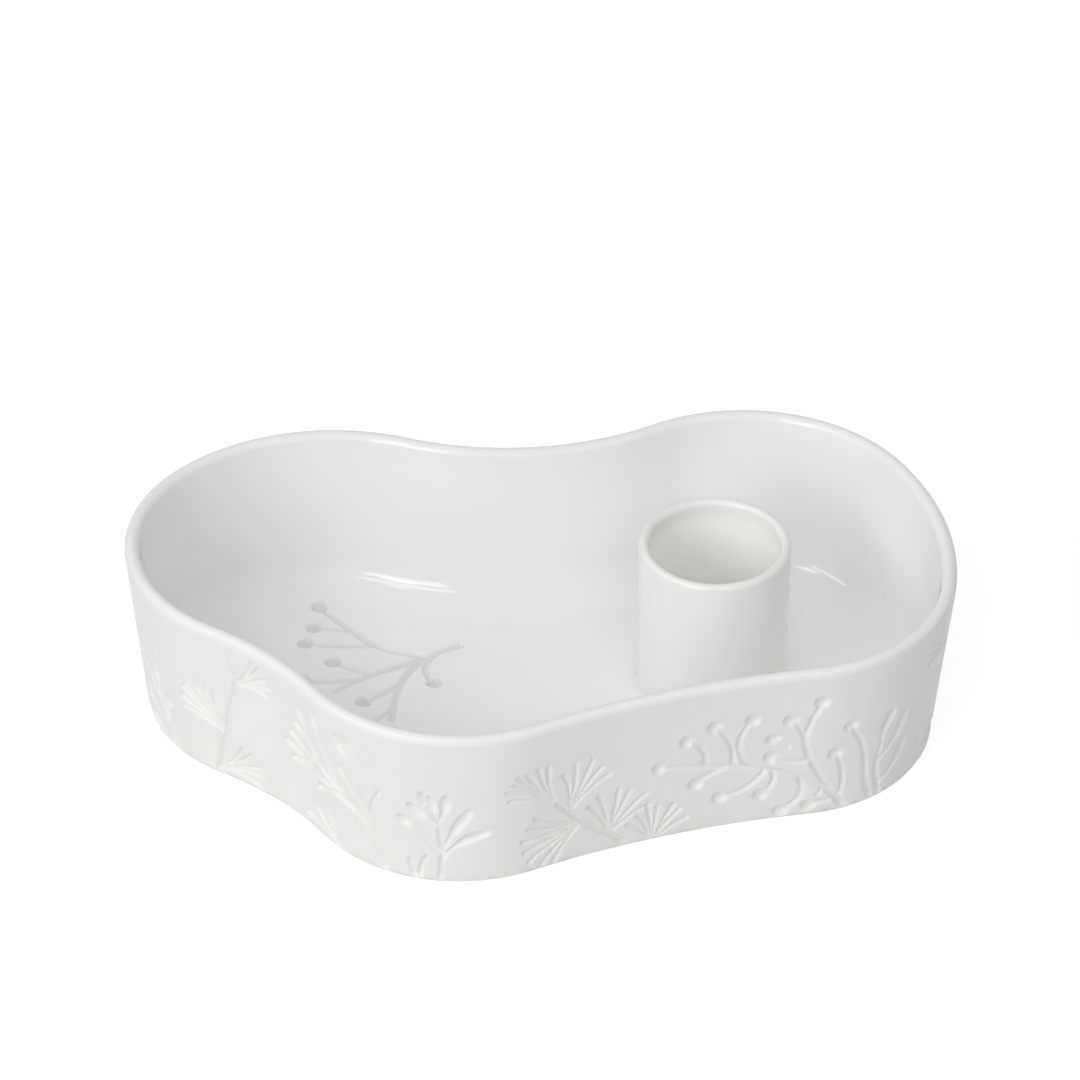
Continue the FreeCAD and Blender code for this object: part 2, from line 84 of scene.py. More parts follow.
dish = {
    "leftRadius": 52 * mm,
    "backRadius": 65.5 * mm, "backTurn": math.radians(43),   # the left lobe opens out towards the back
    "right": (139 * mm, 13.5 * mm), "rightRadius": 55.5 * mm,   # from the left lobe's centre
    "corner": (149.5 * mm, -13 * mm), "cornerRadius": 51 * mm,
    "front": (50 * mm, -44 * mm), "frontRadius": 53.5 * mm,
    "leftWaist": 100 * mm, "frontWaist": 300 * mm, "rightBow": 97 * mm, "backWaist": 95 * mm,
    "height": 60 * mm, "rimRadius": 2.3 * mm, "draft": math.radians(6), "glaze": 0.3 * mm,
    "glazeEdge": math.radians(40), "floor": 5 * mm, "cove": 14 * mm,
    "footEdge": 1.6 * mm, "footWidth": 9 * mm, "footHollow": 0.8 * mm,
    "columns": 204, "patchSlope": math.radians(40),   # where the cove gives way to the floor's mesh
}
# How many steps each stretch of the section has, and below them how many times as many each use of it takes
rowSteps = {"footFlat": 3, "bareWall": 20, "curve": 3, "rim": 8, "glazedWall": 7, "cove": 5, "patchRings": 9,
            "coarse": 3, "hidden": 2, "dense": 16}
bodyLow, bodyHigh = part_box("dish_body")
leftCentre = np.array([
    bodyLow.x + dish["leftRadius"] + dish["rimRadius"],
    bodyHigh.y - dish["rightRadius"] - dish["rimRadius"] - dish["right"][1],
])
rimLevel = dish["height"] - dish["rimRadius"]


def lobe(place, radius):
    return (leftCentre[0] + place[0], leftCentre[1] + place[1], radius)


def joinArc(first, second, radius, hollow):
    # the arc that runs smoothly from one lobe to the next, hollow or bulging
    firstReach = first[2] + radius if hollow else radius - first[2]
    secondReach = second[2] + radius if hollow else radius - second[2]
    run, rise = second[0] - first[0], second[1] - first[1]
    gap = math.hypot(run, rise)
    along = (firstReach ** 2 - secondReach ** 2 + gap ** 2) / (2 * gap)
    aside = math.sqrt(firstReach ** 2 - along ** 2) * (-1 if hollow else 1)
    x = first[0] + (run * along - rise * aside) / gap
    y = first[1] + (rise * along + run * aside) / gap
    return (x, y, radius)


def rimArcs():
    # counter-clockwise from the back of the left lobe, as (centre x, y, radius, hollow)
    turn, extra = dish["backTurn"], dish["backRadius"] - dish["leftRadius"]
    left = lobe((0, 0), dish["leftRadius"])
    back = lobe((extra * math.cos(turn), -extra * math.sin(turn)), dish["backRadius"])
    front = lobe(dish["front"], dish["frontRadius"])
    corner = lobe(dish["corner"], dish["cornerRadius"])
    right = lobe(dish["right"], dish["rightRadius"])
    return [
        (*back, False), (*left, False),
        (*joinArc(left, front, dish["leftWaist"], True), True), (*front, False),
        (*joinArc(front, corner, dish["frontWaist"], True), True), (*corner, False),
        (*joinArc(corner, right, dish["rightBow"], False), False), (*right, False),
        (*joinArc(right, back, dish["backWaist"], True), True),
    ]


def touchAngle(arc, other):
    run, rise = other[0] - arc[0], other[1] - arc[1]
    inner = arc[3] == other[3] and arc[2] < other[2]
    return math.atan2(-rise, -run) if inner else math.atan2(rise, run)


def rimStretches():
    # each arc with its start angle, its sweep and the distance along the rim where it starts
    arcs, stretches, distance = rimArcs(), [], 0.0
    for index, arc in enumerate(arcs):
        start = touchAngle(arc, arcs[index - 1])
        end = touchAngle(arc, arcs[(index + 1) % len(arcs)])
        sweep = (start - end if arc[3] else end - start) % circle
        stretches.append((arc, start, sweep, distance))
        distance += sweep * arc[2]
    return stretches, distance


stretches, rimLength = rimStretches()


def alongRim(distance):
    # plan place and outward direction at distances along the middle of the rim
    distance = np.asarray(distance) % rimLength
    places, outwards = np.zeros((len(distance), 2)), np.zeros((len(distance), 2))
    for (x, y, radius, hollow), start, sweep, begins in stretches:
        share = (distance - begins) / (sweep * radius)
        here = (share >= 0) & (share <= 1)
        angle = start + (-1 if hollow else 1) * sweep * share[here]
        ray = np.c_[np.cos(angle), np.sin(angle)]
        places[here] = (x, y) + ray * radius
        outwards[here] = -ray if hollow else ray
    return places, outwards


def insetFromRim(points):
    # how far inside the middle of the rim each plan point lies
    nearest = np.full(len(points), np.inf)
    for (x, y, radius, hollow), start, sweep, begins in stretches:
        away = points - (x, y)
        angle = np.arctan2(away[:, 1], away[:, 0])
        turned = (start - angle if hollow else angle - start) % circle
        reach = np.linalg.norm(away, axis=1)
        inset = reach - radius if hollow else radius - reach
        nearest = np.where(turned <= sweep, np.minimum(nearest, inset), nearest)
    return nearest


def leaning(offset, level):
    # how far outwards a line beside the wall's middle lies at a level
    return offset / math.cos(dish["draft"]) - (rimLevel - level) * math.tan(dish["draft"])


def arcRows(centre, radius, start, end, steps):
    angle = np.linspace(start, end, steps + 1)
    return np.c_[centre[0] + radius * np.cos(angle), centre[1] + radius * np.sin(angle)]


def lineRows(start, end, steps):
    return np.linspace(start, end, steps + 1)


coveCentre = (leaning(-dish["rimRadius"] - dish["cove"], dish["floor"] + dish["cove"]),
              dish["floor"] + dish["cove"])


def bareSection(fine):
    # outside without glaze, from the hollow under the dish up to the edge of the glaze,
    # as stretches of points (outwards, level)
    draft, foot = dish["draft"], dish["footEdge"]
    footCentre = (leaning(dish["rimRadius"] - foot, foot), foot)
    hollow = leaning(dish["rimRadius"], 0) - dish["footWidth"]
    curve, turn = rowSteps["curve"] * fine, dish["glazeEdge"]
    footArc = arcRows(footCentre, foot, -math.pi / 2, -draft, curve)
    rimArc = arcRows((0, rimLevel), dish["rimRadius"], -draft, turn, curve)
    underGlaze = (dish["rimRadius"] - dish["glaze"]) * np.array([[math.cos(turn), math.sin(turn)]])
    return [
        lineRows((hollow, dish["footHollow"]), (hollow, 0), 1),
        lineRows((hollow, 0), footArc[0], rowSteps["footFlat"]), footArc,
        lineRows(footArc[-1], rimArc[0], rowSteps["bareWall"]), rimArc, underGlaze + (0, rimLevel),
    ]


def insideSection(skin, fine):
    # from the edge of the glaze over the rim and down to where the cove is not steep any more;
    # skin is how far the points lie under the face of the glaze
    draft, rim = dish["draft"], dish["rimRadius"] - skin
    coveEnd = dish["patchSlope"] - math.pi / 2
    rimArc = arcRows((0, rimLevel), rim, dish["glazeEdge"], math.pi - draft, rowSteps["rim"] * fine)
    coveArc = arcRows(coveCentre, dish["cove"] + skin, -draft, coveEnd, rowSteps["cove"] * fine)
    return [rimArc, lineRows(rimArc[-1], coveArc[0], rowSteps["glazedWall"] * fine), coveArc]


def chain(stretches):
    # one section from several stretches, without the doubled point at each join
    section = stretches[0]
    for stretch in stretches[1:]:
        same = np.allclose(section[-1], stretch[0], atol=hair)
        section = np.vstack([section, stretch[1:] if same else stretch])
    return section


def sweepSection(section):
    # a band of quads that carries the section once round the rim
    count = dish["columns"]
    places, outwards = alongRim(np.arange(count) * rimLength / count)
    ground = places[None] + outwards[None] * section[:, 0, None, None]
    level = np.broadcast_to(section[:, 1, None, None], (*ground.shape[:2], 1))
    here = np.arange(count)
    beside = (here + 1) % count
    faces = [
        np.c_[row * count + here, row * count + beside, (row + 1) * count + beside, (row + 1) * count + here]
        for row in range(len(section) - 1)
    ]
    return np.concatenate([ground, level], axis=2).reshape(-1, 3), np.vstack(faces).tolist()


# Ornament: sprigs pressed into the clay. Points are in mm, x along the wall and y up it from the foot

press = {
    "stem": 1.4, "twig": 1.2, "berry": 2.7, "needle": 1.05, "bud": 1.8,   # half widths in mm
    "stemTip": 0.9, "stalkTip": 0.85, "budStalk": 0.8, "needleFoot": 0.45,   # shares of those widths
    "budFrom": 0.4, "budSpan": 0.75, "budSteps": 14,   # where a bud swells, as shares of its stroke
    "needleRoot": 1.4, "needleSwing": 0.07, "needleChance": 0.03,   # the root in mm from the node
    "outerNeedle": 0.84, "middleMore": 0.16,   # shares of the longest needle
    "dot": 0.02, "markSag": 0.05,   # a berry is a stroke as short as the dot, in mm
    "depthShare": 1.0, "deepest": 1.5 * mm, "easing": 1.2 * mm, "roundness": 0.6, "softening": 0,
    "profilePoints": 13, "domeSides": 24, "domeRings": 8,
    "rows": 18, "levels": 3, "reach": 1.1,   # each level halves the mesh's step near a stroke
    "plainFoot": 0.2, "fadeFrom": 0.25, "fadeOver": 1.2,   # shares of the foot's edge radius
}


def smoothLine(points, steps=6):
    # a curve through given points
    points = np.array(points, float)
    padded = np.vstack([2 * points[0] - points[1], points, 2 * points[-1] - points[-2]])
    line = []
    for before, start, end, after in zip(padded, padded[1:], padded[2:], padded[3:]):
        for share in np.linspace(0, 1, steps, endpoint=False):
            pull = (2 * before - 5 * start + 4 * end - after) * share ** 2
            line.append(start + ((end - before) * share + pull
                                 + (3 * start - before - 3 * end + after) * share ** 3) / 2)
    return np.array(line + [points[-1]])


def bow(start, end, sag, steps=8):
    # a curve between two points that bulges sideways by a share of its length
    start, end = np.array(start, float), np.array(end, float)
    aside = np.array([start[1] - end[1], end[0] - start[0]])
    share = np.linspace(0, 1, steps + 1)[:, None]
    return start + (end - start) * share + aside * sag * 4 * share * (1 - share)


def stroke(line, startWidth, endWidth):
    width = np.linspace(startWidth, endWidth, len(line))
    return np.c_[line, width]


def placeOn(line, share):
    at = share * (len(line) - 1)
    return np.array([np.interp(at, np.arange(len(line)), line[:, axis]) for axis in (0, 1)])


def needles(node, aim, spread, count, longest):
    # a tuft of pine needles, longest in its middle, that part from a node
    strokes = []
    for share in np.linspace(0, 1, count):
        angle = math.radians(aim + spread * (0.5 - share)) + chance.normal(0, press["needleChance"])
        ray = np.array([math.cos(angle), math.sin(angle)])
        length = longest * (press["outerNeedle"] + press["middleMore"] * math.sin(math.pi * share))
        length *= 1 + chance.normal(0, press["needleChance"])
        swing = press["needleSwing"] * (share - 0.5) * 2
        line = bow(node + ray * press["needleRoot"], node + ray * length, swing)
        strokes.append(stroke(line, press["needle"] * press["needleFoot"], press["needle"]))
    return strokes


def sprigStrokes(sprig):
    stems = [smoothLine(points) for points in sprig["stems"]]
    stemTip = press["twig"] * sprig.get("thin", press["stemTip"])
    strokes = [stroke(line, press["stem"], stemTip) for line in stems]
    for stem, share, aim, spread, count, longest in sprig.get("tufts", ()):
        strokes += needles(placeOn(stems[stem], share), aim, spread, count, longest)
    for stem, share, tip, sag in sprig.get("berries", ()):
        stalk = bow(placeOn(stems[stem], share), tip, sag)
        strokes.append(stroke(stalk, press["twig"], press["twig"] * press["stalkTip"]))
        dot = bow(tip, tip + np.array([press["dot"], 0]), 0, 1)
        strokes.append(stroke(dot, press["berry"], press["berry"]))
    for stem, share, tip, sag in sprig.get("buds", ()):
        line = bow(placeOn(stems[stem], share), tip, sag, press["budSteps"])
        along = (np.linspace(0, 1, len(line)) - press["budFrom"]) / press["budSpan"]
        swell = np.sin(math.pi * np.clip(along, 0, 1))
        twig = press["twig"] * press["budStalk"]
        strokes.append(np.c_[line, twig + (sprig.get("bud", press["bud"]) - twig) * swell])
    for start, end, width in sprig.get("marks", ()):
        strokes.append(stroke(bow(start, end, press["markSag"]), width, width))
    for node, aim, spread, count, longest in sprig.get("fans", ()):
        strokes += needles(np.array(node, float), aim, spread, count, longest)
    return strokes


# Tufts: stem, share along it, aim and spread in degrees, number and length of needles. Fans: the same at a
# point. Berries and buds: stem, share along it, tip, sag. Marks: start, end, half width
sprigs = {
    "pineTwig": {
        "stems": [[(0, -2), (3, 12), (5, 20), (7, 31), (10, 41), (9.5, 49), (8, 55)]], "thin": 0.6,
        "tufts": [(0, 0.7, 32, 52, 5, 17), (0, 0.32, 133, 62, 7, 20), (0, 0.06, 27, 58, 5, 18)],
    },
    "budBranch": {
        "stems": [[(1, -2), (-1, 6), (-4, 14.5), (-8, 20.5), (-13, 25), (-17, 30.5), (-21, 38), (-23, 44)],
                  [(-11, 22.5), (-17, 27), (-24, 32), (-29, 38), (-31, 43)],
                  [(-11, 22.5), (-18, 25), (-26, 27.5)],
                  [(-5, 17), (-7, 24), (-10.5, 30.5), (-15.5, 37)],
                  [(-4, 15), (-6, 24), (-7.5, 34), (-10, 41.5)],
                  [(-14, -3), (-18, 1.5), (-22, 6)]],
        "bud": 1.75,
        "buds": [(0, 1, (-25.5, 52), 0.04), (1, 1, (-33.5, 50), 0.05), (1, 0.8, (-36, 41.5), 0.05),
                 (1, 0.5, (-38.5, 36), 0.05), (2, 1, (-41, 31), -0.04), (2, 0.75, (-38.5, 25.5), -0.04),
                 (2, 0.4, (-26.5, 21.5), -0.08), (4, 1, (-15.5, 49), 0.05), (4, 0.85, (-11, 51), -0.04),
                 (5, 0.9, (-29, 11), 0.05), (5, 0.5, (-34.5, 5.5), -0.05), (5, 0.7, (-23, 15.5), -0.04)],
        "marks": [((-4.5, 23), (-0.5, 33.5), 0.8), ((-0.5, 33), (-0.5, 34), 1.0)],
    },
    "budSprig": {
        "stems": [[(0, -2), (0.5, 5), (1, 12.5)], [(1, 12), (-3, 16.5), (-7, 21)],
                  [(1, 13), (0.5, 20), (0, 25.5)]],
        "bud": 2.1,
        "buds": [(1, 1, (-12, 25.5), -0.05), (2, 1, (2.5, 36), -0.05), (2, 0.95, (-2.5, 35.5), 0.05),
                 (2, 0.8, (-8.5, 31.5), 0.03), (0, 1, (9.5, 30), 0.04), (0, 0.8, (15, 21), 0.12)],
        "marks": [((-4, 33), (-5, 37), 1.3), ((-8, 1.5), (-9.5, 8.5), 1.2), ((-6.5, 2.5), (-4, 10.5), 1.2)],
    },
    "pineCluster": {
        "stems": [[(2, 0), (-5, 7), (-14, 15), (-19, 21), (-23.5, 26.5)]],
        "tufts": [(0, 1, 131, 52, 7, 20.5), (0, 0.76, 70, 56, 5, 20.5), (0, 0.52, 198, 88, 7, 20.5),
                  (0, 0.26, 77, 82, 6, 18)],
        "fans": [((9, -0.5), 82, 92, 7, 15.5)],
    },
    "berrySpray": {
        "stems": [[(0, -1), (-8.5, 10.5), (-18, 17.5), (-28, 22), (-39, 25.5), (-49, 28), (-58, 29.5)],
                  [(0, 0), (-8, 12), (-14, 24), (-16, 33), (-14, 42)]],
        "berries": [(0, 1, (-62, 30.5), 0.03), (0, 0.8, (-53.5, 39.5), -0.16), (0, 0.66, (-45, 43.5), -0.12),
                    (0, 0.56, (-33, 44), 0.22), (0, 0.68, (-50, 20.5), -0.08), (0, 0.5, (-42, 13), 0.14),
                    (0, 0.46, (-29, 11.5), 0.16), (0, 0.32, (-22.5, 3.5), 0.22),
                    (1, 1, (-11.5, 48), -0.04), (1, 0.66, (-21, 41.5), -0.1), (1, 0.5, (-26.5, 27), 0.12),
                    (0, 0.08, (-6, 25), -0.1)],
        "marks": [((-26.5, 34.5), (-26, 34.5), 2.4), ((-25, 33), (-21, 30.5), 0.9),
                  ((-14, 4.5), (-13.5, 4.5), 2.5), ((-12, 5), (-7, 5.5), 1.0),
                  ((-11, 8.5), (-9.5, 10.5), 1.0)],
    },
    "berryPair": {
        "stems": [[(0, -2), (-4, 9), (-5, 17), (-6.5, 25), (-9, 31)],
                  [(3, -2), (0.5, 8), (-0.5, 15), (0.5, 22)]],
        "berries": [(0, 1, (-11.5, 35.5), 0.02)],
        "bud": 2.1,
        "buds": [(1, 1, (4, 35), 0.08), (1, 0.7, (9.5, 31), -0.1), (1, 0.25, (11, 19), -0.1)],
        "marks": [((20, 9), (21, 18), 0.9)],
    },
    "leanTwig": {
        "stems": [[(1, -2), (-1, 8), (-6, 16), (-12, 22)]], "bud": 2.6,
        "buds": [(0, 1, (-22, 31), 0.05), (0, 0.75, (-9, 32), -0.05), (0, 0.5, (-2, 21), -0.06),
                 (0, 0.4, (-17, 14), 0.06), (0, 0.15, (-15, 6), 0.08)],
    },
}

# The frieze: sprig, distance of its root along the rim in mm, and whether it is turned over
frieze = [
    ("leanTwig", 150, False), ("pineTwig", 168, False), ("budBranch", 240, False), ("budSprig", 258.5, False),
    ("pineCluster", 320, False), ("berrySpray", 392, False), ("berryPair", 402, False),
    ("pineTwig", 447, True), ("leanTwig", 462, True), ("budSprig", 500, False), ("budBranch", 520, True),
    ("pineTwig", 588, True), ("berrySpray", 609, True),
    ("budSprig", 20, True), ("pineTwig", 46, False), ("leanTwig", 88, False), ("berryPair", 106, True),
]


def friezeStrokes():
    strokes = []
    for name, root, turned in frieze:
        side = -1 if turned else 1
        strokes += [(line * (side, 1, 1) + (root, 0, 0)) * mm for line in sprigStrokes(sprigs[name])]
    return strokes


# The branch on the floor, in mm from the frame's middle
floorBranch = {
    "stems": [[(-25, 32), (-30, 29.5), (-35.5, 26)],
              [(-35.5, 26), (-45, 28.5), (-52.5, 32), (-60, 39.5), (-67, 47.5)],
              [(-35.5, 26), (-43, 21.5), (-53, 16.5), (-64, 8)],
              [(-37, 25), (-41.5, 17), (-44.5, 8), (-46, -6)]],
    "berries": [(1, 0.98, (-70, 51), 0), (1, 0.7, (-71.5, 40.5), -0.06), (1, 0.5, (-74, 32.5), 0.05),
                (2, 0.62, (-65, 23), 0.06), (2, 0.75, (-74, 13.5), 0.06), (3, 0.5, (-55, 3), 0.05),
                (3, 0.85, (-54, -8.5), 0.04), (0, 0.75, (-33, 13), -0.2)],
}
floorPress = {
    "widen": 0.05, "depthShare": 0.92, "deepest": 1.6 * mm, "easing": 0.25 * mm,   # widen is in mm
    "roundness": 0.42, "softening": 1, "levels": 4,
    "step": 3 * mm, "wideShare": 3,   # step of the patch's mesh, and how many of them the rest takes
    "climb": 5.5 * mm,   # how far up the cove the patch may go
}
# The clay's own strokes are wider and deeper than the glaze shows, because the glaze fills them
clayPress = {**floorPress, "widen": 0.6, "deepest": 1.85 * mm, "levels": 2}


def nearStrokes(points, strokes, reach):
    # which points lie within reach of the edge of a stroke
    near = np.zeros(len(points), bool)
    for line in strokes:
        rim = line[:, 2].max() + reach
        low, high = line[:, :2].min(0) - rim, line[:, :2].max(0) + rim
        close = np.nonzero(((points >= low) & (points <= high)).all(1) & ~near)[0]
        if not len(close):
            continue
        start, run = line[:-1, :2], np.diff(line[:, :2], axis=0)
        away = points[close, None] - start
        share = np.clip((away * run).sum(2) / np.maximum((run ** 2).sum(1), 1e-18), 0, 1)
        gap = np.linalg.norm(away - run * share[..., None], axis=2)
        gap = gap - line[:-1, 2] - np.diff(line[:, 2]) * share
        near[close[gap.min(1) < reach]] = True
    return near


def gradedPoints(low, high, steps, levels, strokes):
    # an even grid of points that gets twice as fine at each level near the strokes
    fine = 2 ** levels
    counts = [step * fine for step in steps]
    size = [(high[axis] - low[axis]) / counts[axis] for axis in (0, 1)]
    taken = np.zeros((counts[0] + 1, counts[1] + 1), bool)
    for level in range(levels + 1):
        skip = fine >> level
        places = [np.arange(0, count + 1, skip) for count in counts]
        across, up = [part.ravel() for part in np.meshgrid(*places, indexing="ij")]
        points = np.c_[low[0] + across * size[0], low[1] + up * size[1]]
        reach = press["reach"] * skip * max(size)
        keep = nearStrokes(points, strokes, reach) if level else np.ones(len(points), bool)
        taken[across[keep], up[keep]] = True
    taken[0] |= taken[-1]   # the two ends meet where the sheet closes on itself
    taken[-1] = taken[0]
    across, up = np.nonzero(taken)
    return np.c_[low[0] + across * size[0], low[1] + up * size[1]]


def gridPoints(step):
    # an even grid over the plan of the dish
    across, up = np.meshgrid(*[np.arange(cadBox[0][axis], cadBox[1][axis], step) for axis in (0, 1)])
    return np.c_[across.ravel(), up.ravel()]


def triangles(points, edges=()):
    # Delaunay triangles of flat points, worked in mm, inside the edges where there are any
    inside, close = 1 if len(edges) else 0, 1e-5
    made = delaunay_2d_cdt([Vector(p) for p in points / mm], [list(map(int, e)) for e in edges], [],
                           inside, close)
    return np.array([tuple(p) for p in made[0]]) * mm, [list(face) for face in made[2]]


def pressTree():
    # presses a die of rounded ridges into a flat sheet, then puts each point of the sheet in its real place
    tree = bpy.data.node_groups.new("pressOrnament", "GeometryNodeTree")
    kinds = {"Geometry": "Geometry", "Strokes": "Object", "Depth Share": "Float", "Deepest": "Float",
             "Easing": "Float", "Roundness": "Float", "Softening": "Int", "Profile Points": "Int",
             "Dome Sides": "Int", "Dome Rings": "Int", "Material": "Material"}
    for name, kind in kinds.items():
        tree.interface.new_socket(name, in_out="INPUT", socket_type="NodeSocket" + kind)
    tree.interface.new_socket("Geometry", in_out="OUTPUT", socket_type="NodeSocketGeometry")
    given = addNode(tree, "NodeGroupInput").outputs

    def maths(operation, *values):
        return addNode(tree, "ShaderNodeMath", dict(enumerate(values)), operation=operation).outputs[0]

    def bell(reach):
        # 1 on the ridge, 0 at its edge
        wave = maths("COSINE", maths("MULTIPLY", maths("MINIMUM", reach, 1.0), math.pi))
        return maths("POWER", maths("MULTIPLY_ADD", wave, 0.5, 0.5), given["Roundness"])

    place = addNode(tree, "GeometryNodeInputPosition").outputs[0]
    parts = addNode(tree, "ShaderNodeSeparateXYZ", {0: place}).outputs
    span = maths("DIVIDE", 2.0, maths("SUBTRACT", given["Profile Points"], 1.0))
    step = addNode(tree, "ShaderNodeCombineXYZ", {0: span}).outputs[0]
    flat = addNode(tree, "GeometryNodeMeshLine", {"Count": given["Profile Points"],
                                                  "Start Location": (-1, 0, 0), "Offset": step}).outputs[0]
    ridge = addNode(tree, "ShaderNodeCombineXYZ",
                    {0: parts[0], 1: maths("MULTIPLY", bell(maths("ABSOLUTE", parts[0])), -1.0)}).outputs[0]
    profile = addNode(tree, "GeometryNodeSetPosition", {"Geometry": flat, "Position": ridge}).outputs[0]
    profile = addNode(tree, "GeometryNodeMeshToCurve", {"Mesh": profile}).outputs[0]
    lines = addNode(tree, "GeometryNodeObjectInfo", {"Object": given["Strokes"]}).outputs["Geometry"]
    lines = addNode(tree, "GeometryNodeSetCurveNormal", {"Curve": lines}, mode="Z_UP").outputs[0]
    width = addNode(tree, "GeometryNodeInputRadius").outputs[0]
    ridges = addNode(tree, "GeometryNodeCurveToMesh",
                     {"Curve": lines, "Profile Curve": profile, "Scale": width}).outputs[0]
    disc = addNode(tree, "GeometryNodeMeshCone",
                   {"Vertices": given["Dome Sides"], "Side Segments": given["Dome Rings"], "Radius Top": 0.0,
                    "Radius Bottom": 1.0, "Depth": 0.0}, fill_type="NONE").outputs["Mesh"]
    away = addNode(tree, "ShaderNodeVectorMath", {0: place}, operation="LENGTH").outputs["Value"]
    raised = addNode(tree, "ShaderNodeCombineXYZ", {0: parts[0], 1: parts[1], 2: bell(away)}).outputs[0]
    dome = addNode(tree, "GeometryNodeSetPosition", {"Geometry": disc, "Position": raised}).outputs[0]
    ends = addNode(tree, "GeometryNodeCurveEndpointSelection", {"Start Size": 1, "End Size": 1}).outputs[0]
    domes = addNode(tree, "GeometryNodeInstanceOnPoints",
                    {"Points": lines, "Selection": ends, "Instance": dome, "Scale": width}).outputs[0]
    domes = addNode(tree, "GeometryNodeRealizeInstances", {0: domes}).outputs[0]
    die = addNode(tree, "GeometryNodeJoinGeometry", {0: ridges})
    tree.links.new(domes, die.inputs[0])
    above = addNode(tree, "ShaderNodeVectorMath", {0: place, 1: (0, 0, 1)}, operation="ADD").outputs[0]
    hit = addNode(tree, "GeometryNodeRaycast",
                  {"Target Geometry": die.outputs[0], "Source Position": above, "Ray Direction": (0, 0, -1),
                   "Ray Length": 2.0}).outputs["Hit Position"]
    height = addNode(tree, "ShaderNodeSeparateXYZ", {0: hit}).outputs[2]
    depth = maths("MULTIPLY", height, given["Depth Share"])
    depth = maths("SMOOTH_MIN", depth, given["Deepest"], given["Easing"])
    depth = addNode(tree, "GeometryNodeBlurAttribute",
                    {"Value": depth, "Iterations": given["Softening"]}, data_type="FLOAT").outputs[0]
    rest, way = [addNode(tree, "GeometryNodeInputNamedAttribute", {"Name": name},
                         data_type="FLOAT_VECTOR").outputs[0] for name in ("restPlace", "pressWay")]
    moved = addNode(tree, "ShaderNodeVectorMath", {0: way, "Scale": depth}, operation="SCALE").outputs[0]
    moved = addNode(tree, "ShaderNodeVectorMath", {0: rest, 1: moved}, operation="ADD").outputs[0]
    pressed = addNode(tree, "GeometryNodeSetPosition",
                      {"Geometry": given["Geometry"], "Position": moved}).outputs[0]
    pressed = addNode(tree, "GeometryNodeRealizeInstances", {0: pressed}).outputs[0]
    pressed = addNode(tree, "GeometryNodeSetMaterial",
                      {"Geometry": pressed, "Material": given["Material"]}).outputs[0]
    addNode(tree, "NodeGroupOutput", {0: pressed})
    return tree


def strokeCurves(strokes):
    data = bpy.data.curves.new("strokes", "CURVE")
    data.dimensions = "3D"
    for line in strokes:
        spline = data.splines.new("POLY")
        spline.points.add(len(line) - 1)
        spline.points.foreach_set("co", np.c_[line[:, :2], np.zeros(len(line)), np.ones(len(line))].ravel())
        spline.points.foreach_set("radius", line[:, 2])
    curves = bpy.data.objects.new("strokes", data)
    bpy.context.scene.collection.objects.link(curves)
    return curves


def pressSheet(tree, flat, faces, rest, way, strokes, settings, material):
    # the sheet after the press, in its real place: points, faces and how deep each point is pressed
    mesh = bpy.data.meshes.new("sheet")
    mesh.from_pydata(np.c_[flat, np.zeros(len(flat))].tolist(), [], faces)
    for name, values in (("restPlace", rest), ("pressWay", way)):
        mesh.attributes.new(name, "FLOAT_VECTOR", "POINT").data.foreach_set("vector", values.ravel())
    sheet = bpy.data.objects.new("sheet", mesh)
    bpy.context.scene.collection.objects.link(sheet)
    curves = strokeCurves(strokes)
    modifier = sheet.modifiers.new("press", "NODES")
    modifier.node_group = tree
    inputs = {"Strokes": curves, "Depth Share": settings["depthShare"], "Deepest": settings["deepest"],
              "Easing": settings["easing"], "Roundness": settings["roundness"],
              "Softening": settings["softening"], "Profile Points": press["profilePoints"],
              "Dome Sides": press["domeSides"], "Dome Rings": press["domeRings"], "Material": material}
    for socket in tree.interface.items_tree:
        if socket.in_out == "INPUT" and socket.name in inputs:
            modifier[socket.identifier] = inputs[socket.name]
    bpy.context.view_layer.update()
    depsgraph = bpy.context.evaluated_depsgraph_get()
    made = bpy.data.meshes.new_from_object(sheet.evaluated_get(depsgraph))
    points = np.zeros(len(made.vertices) * 3, np.float32)
    made.vertices.foreach_get("co", points)
    sheet.modifiers.remove(modifier)
    for thing in (sheet, curves):
        bpy.data.objects.remove(thing)
    points = points.reshape(-1, 3).astype(float)
    return points, faces, ((points - rest) * way).sum(1)


seam = {"weld": 0.002 * mm, "sliver": 0.001 * mm, "crease": math.radians(35)}


